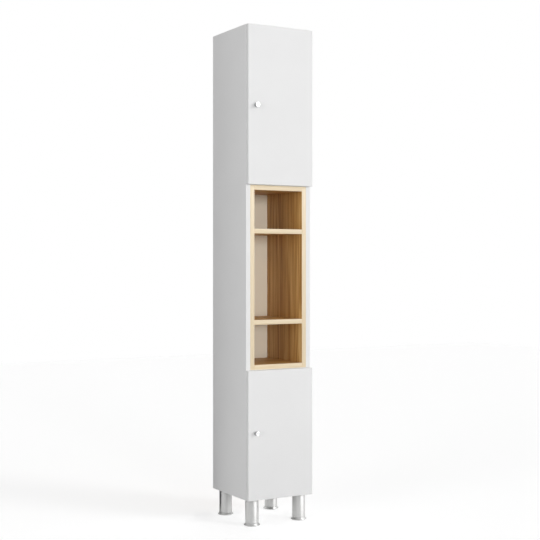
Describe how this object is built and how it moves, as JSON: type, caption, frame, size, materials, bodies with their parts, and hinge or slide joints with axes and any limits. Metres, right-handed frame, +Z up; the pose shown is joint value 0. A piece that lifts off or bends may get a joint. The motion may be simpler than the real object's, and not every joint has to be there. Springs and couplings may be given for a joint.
{
  "type": "tall bathroom cabinet",
  "caption": "Tall narrow white bathroom cabinet with hinged doors above and below open oak niches, round knobs and metal legs with levelling feet.",
  "frame": {"origin": "on the floor, at the centre of the overall box", "axes": "+X towards the hinge side, +Y towards the wall behind, +Z up"},
  "size_m": [0.28, 0.31, 1.88],
  "materials": {
    "white_board": "satin white melamine",
    "oak_board": "light oak decor melamine",
    "back_board": "painted hardboard",
    "beech": "raw beech",
    "zinc": "nickel-plated die-cast zinc",
    "steel": "zinc-plated steel",
    "polished": "polished chrome",
    "leg_metal": "satin chrome",
    "leg_plastic": "black nylon",
    "bumper": "clear silicone"
  },
  "bodies": {
    "carcass": {"back_left_leg_tube": "leg_metal", "back_panel": "back_board", "back_panel_nails": "steel", "back_right_leg_tube": "leg_metal", "bottom_panel": "white_board", "cam_bolts": "steel", "cam_locks": "zinc", "front_left_leg_tube": "leg_metal", "front_right_leg_tube": "leg_metal", "hinge_mounting_plates": "zinc", "hinge_plate_screws": "steel", "left_side_panel": "white_board", "leg_mounting_plates": "steel", "leg_screws": "steel", "leg_threaded_inserts": "leg_plastic", "lower_cupboard_shelf": "white_board", "lower_door_bottom_hinge_arm": "zinc", "lower_door_top_hinge_arm": "zinc", "lower_fixed_shelf": "white_board", "niche_bottom_liner": "oak_board", "niche_left_liner": "oak_board", "niche_lower_shelf": "oak_board", "niche_right_liner": "oak_board", "niche_screws": "steel", "niche_top_liner": "oak_board", "niche_upper_shelf": "oak_board", "right_side_panel": "white_board", "shelf_pins": "steel", "top_panel": "white_board", "upper_cupboard_shelf": "white_board", "upper_door_bottom_hinge_arm": "zinc", "upper_door_top_hinge_arm": "zinc", "upper_fixed_shelf": "white_board", "wall_bracket": "steel", "wall_bracket_screws": "steel", "wood_dowels": "beech"},
    "upper_door": {"upper_door": "white_board", "upper_door_bottom_hinge_cup": "zinc", "upper_door_bumpers": "bumper", "upper_door_top_hinge_cup": "zinc", "upper_hinge_cup_screws": "steel", "upper_hinge_pins": "steel", "upper_knob": "polished", "upper_knob_screw": "steel"},
    "lower_door": {"lower_door": "white_board", "lower_door_bottom_hinge_cup": "zinc", "lower_door_bumpers": "bumper", "lower_door_top_hinge_cup": "zinc", "lower_hinge_cup_screws": "steel", "lower_hinge_pins": "steel", "lower_knob": "polished", "lower_knob_screw": "steel"},
    "front_left_foot": {"front_left_leg_foot": "leg_metal"},
    "front_left_spindle": {"front_left_leg_spindle": "steel"},
    "front_right_foot": {"front_right_leg_foot": "leg_metal"},
    "front_right_spindle": {"front_right_leg_spindle": "steel"},
    "back_left_foot": {"back_left_leg_foot": "leg_metal"},
    "back_left_spindle": {"back_left_leg_spindle": "steel"},
    "back_right_foot": {"back_right_leg_foot": "leg_metal"},
    "back_right_spindle": {"back_right_leg_spindle": "steel"}
  },
  "joints": [
    {"name": "upper_door_hinge", "type": "hinge", "parent": "carcass", "child": "upper_door", "pos_m": [0.1335, -0.1295, 1.5805], "axis": [0, 0, 1], "range_deg": [0, 95]},
    {"name": "lower_door_hinge", "type": "hinge", "parent": "carcass", "child": "lower_door", "pos_m": [0.1335, -0.1295, 0.343], "axis": [0, 0, 1], "range_deg": [0, 95]},
    {"name": "front_left_foot_slide", "type": "slide", "parent": "carcass", "child": "front_left_foot", "axis": [0, 0, -1], "range_m": [0, 0.012]},
    {"name": "front_left_spindle_turn", "type": "hinge", "parent": "front_left_foot", "child": "front_left_spindle", "pos_m": [-0.1025, -0.096, 0.03], "axis": [0, 0, -1], "range_deg": [0, 2880]},
    {"name": "front_right_foot_slide", "type": "slide", "parent": "carcass", "child": "front_right_foot", "axis": [0, 0, -1], "range_m": [0, 0.012]},
    {"name": "front_right_spindle_turn", "type": "hinge", "parent": "front_right_foot", "child": "front_right_spindle", "pos_m": [0.1025, -0.096, 0.03], "axis": [0, 0, -1], "range_deg": [0, 2880]},
    {"name": "back_left_foot_slide", "type": "slide", "parent": "carcass", "child": "back_left_foot", "axis": [0, 0, -1], "range_m": [0, 0.012]},
    {"name": "back_left_spindle_turn", "type": "hinge", "parent": "back_left_foot", "child": "back_left_spindle", "pos_m": [-0.1025, 0.1195, 0.03], "axis": [0, 0, -1], "range_deg": [0, 2880]},
    {"name": "back_right_foot_slide", "type": "slide", "parent": "carcass", "child": "back_right_foot", "axis": [0, 0, -1], "range_m": [0, 0.012]},
    {"name": "back_right_spindle_turn", "type": "hinge", "parent": "back_right_foot", "child": "back_right_spindle", "pos_m": [0.1025, 0.1195, 0.03], "axis": [0, 0, -1], "range_deg": [0, 2880]}
  ],
  "couplings": [
    {"joint": "front_left_spindle_turn", "follows": "front_left_foot_slide", "rad_per_m": 4188.8},
    {"joint": "front_right_spindle_turn", "follows": "front_right_foot_slide", "rad_per_m": 4188.8},
    {"joint": "back_left_spindle_turn", "follows": "back_left_foot_slide", "rad_per_m": 4188.8},
    {"joint": "back_right_spindle_turn", "follows": "back_right_foot_slide", "rad_per_m": 4188.8}
  ]
}
